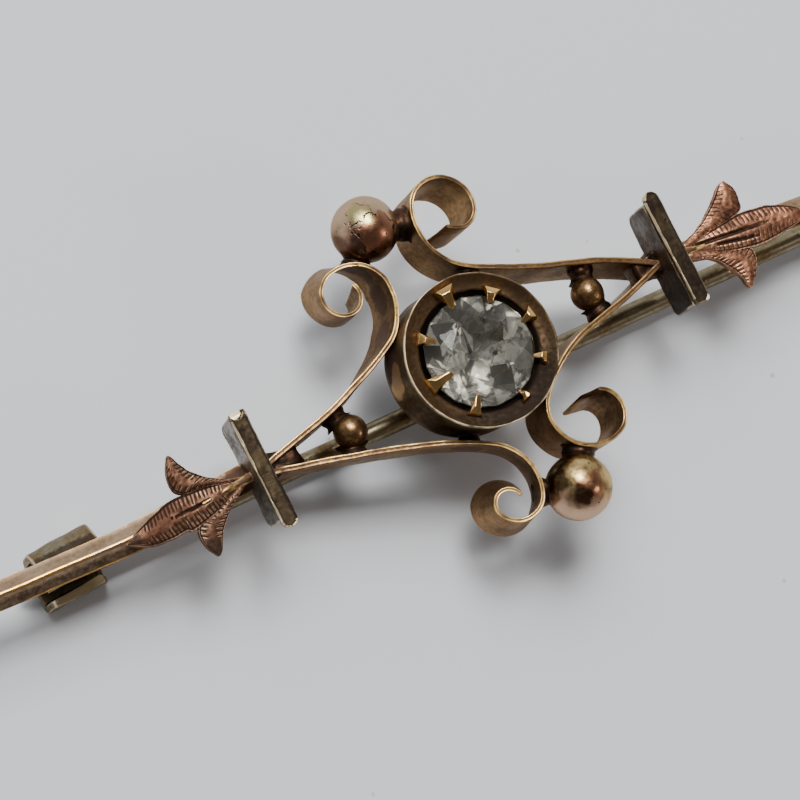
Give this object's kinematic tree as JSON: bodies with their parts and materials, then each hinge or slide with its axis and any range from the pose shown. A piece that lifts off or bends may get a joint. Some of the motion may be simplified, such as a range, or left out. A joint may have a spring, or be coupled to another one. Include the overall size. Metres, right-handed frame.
{
  "type": "scroll bar brooch",
  "caption": "Long gold bar brooch: a round claw-set stone between ribbon scrolls and ball beads, with engraved leaves, ridged end bars, a pin stem and an open catch.",
  "frame": {"origin": "on the surface that the brooch lies on, under the middle of the stone", "axes": "+X along the bar towards the hinge end, +Y across the bar towards the upper large bead, +Z out of the face"},
  "size_m": [0.0521, 0.0172, 0.0074],
  "materials": {
    "collet_gold": "worn olive-brown gold with bright rim and rose-gold claws",
    "stone_clear": "cut, clear",
    "scroll_gold": "worn, dark patina between bright edges",
    "bead_rose": "polished rose gold, crazed patina",
    "bead_gold": "polished yellow gold, pitted",
    "crossbar_gold": "brown gold face, silvery sides",
    "leaf_rose": "engraved rose gold",
    "bar_gold": "worn gold with a bright ridge",
    "fitting_metal": "tarnished, olive-grey"
  },
  "bodies": {
    "root": {"collet": "collet_gold", "stone": "stone_clear", "scroll_top": "scroll_gold", "scroll_left": "scroll_gold", "scroll_bottom": "scroll_gold", "scroll_right": "scroll_gold", "bead_upper": "bead_rose", "bead_lower": "bead_gold", "bead_small_left": "bead_gold", "bead_small_right": "bead_gold", "crossbar_left": "crossbar_gold", "crossbar_right": "crossbar_gold", "leaf_left": "leaf_rose", "leaf_right": "leaf_rose", "bar_left": "bar_gold", "bar_right": "bar_gold", "catch": "fitting_metal", "hinge": "fitting_metal", "pin_stem": "fitting_metal"}
  },
  "joints": []
}
